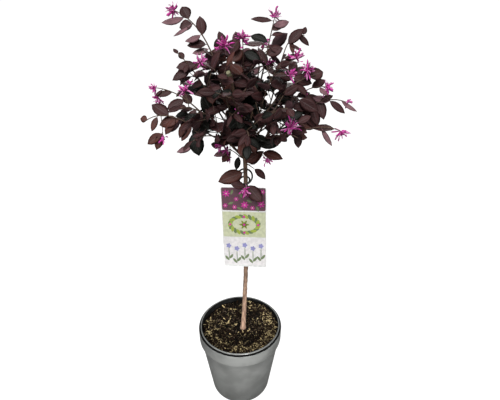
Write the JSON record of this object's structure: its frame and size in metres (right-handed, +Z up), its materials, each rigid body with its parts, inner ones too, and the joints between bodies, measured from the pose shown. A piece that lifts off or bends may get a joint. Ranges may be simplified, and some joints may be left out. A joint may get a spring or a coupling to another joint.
{
  "type": "potted chinese fringe flower standard",
  "caption": "Small evergreen flowering shrub trained as a standard: bare stem, round plum-leaved crown with magenta strap-petalled flowers, hanging card, nursery pot.",
  "frame": {"origin": "centre of the pot's flat underside, at the level of the ground it stands on", "axes": "+Z up along the stem, -Y towards the front that the picture shows, +X to the viewer's right"},
  "size_m": [0.3761, 0.2979, 0.8138],
  "materials": {
    "pot": "satin grey moulded plastic",
    "soil": "rough dark potting soil with bark chips",
    "bark": "pinkish tan fissured bark",
    "foliage": "dark plum leaves, magenta strap petals",
    "label_card": null,
    "label_tie": "dark plastic band and ring"
  },
  "bodies": {
    "root": {"bough_back": "bark", "bough_back_left": "bark", "bough_back_right": "bark", "bough_cut": "bark", "bough_front": "bark", "bough_front_left": "bark", "bough_front_right": "bark", "bough_left": "bark", "bough_right": "bark", "bough_right_top": "bark", "bough_top": "bark", "bough_upper_left": "bark", "bough_upper_right": "bark", "foliage_back": "foliage", "foliage_back_left": "foliage", "foliage_back_left_side": "foliage", "foliage_back_left_upper": "foliage", "foliage_back_right": "foliage", "foliage_back_right_side": "foliage", "foliage_back_side": "foliage", "foliage_back_upper": "foliage", "foliage_front": "foliage", "foliage_front_left": "foliage", "foliage_front_left_side": "foliage", "foliage_front_left_upper": "foliage", "foliage_front_right": "foliage", "foliage_front_right_side": "foliage", "foliage_front_right_upper": "foliage", "foliage_front_side": "foliage", "foliage_left": "foliage", "foliage_left_side": "foliage", "foliage_low_far_left": "foliage", "foliage_low_far_right": "foliage", "foliage_low_front": "foliage", "foliage_low_left": "foliage", "foliage_low_right": "foliage", "foliage_right": "foliage", "foliage_right_side": "foliage", "foliage_right_top": "foliage", "foliage_right_top_side": "foliage", "foliage_right_upper": "foliage", "foliage_top": "foliage", "foliage_top_side": "foliage", "foliage_upper_left": "foliage", "foliage_upper_left_side": "foliage", "foliage_upper_right": "foliage", "foliage_upper_right_side": "foliage", "label_card": "label_card", "label_tie": "label_tie", "pot": "pot", "soil": "soil", "trunk": "bark"}
  },
  "joints": []
}
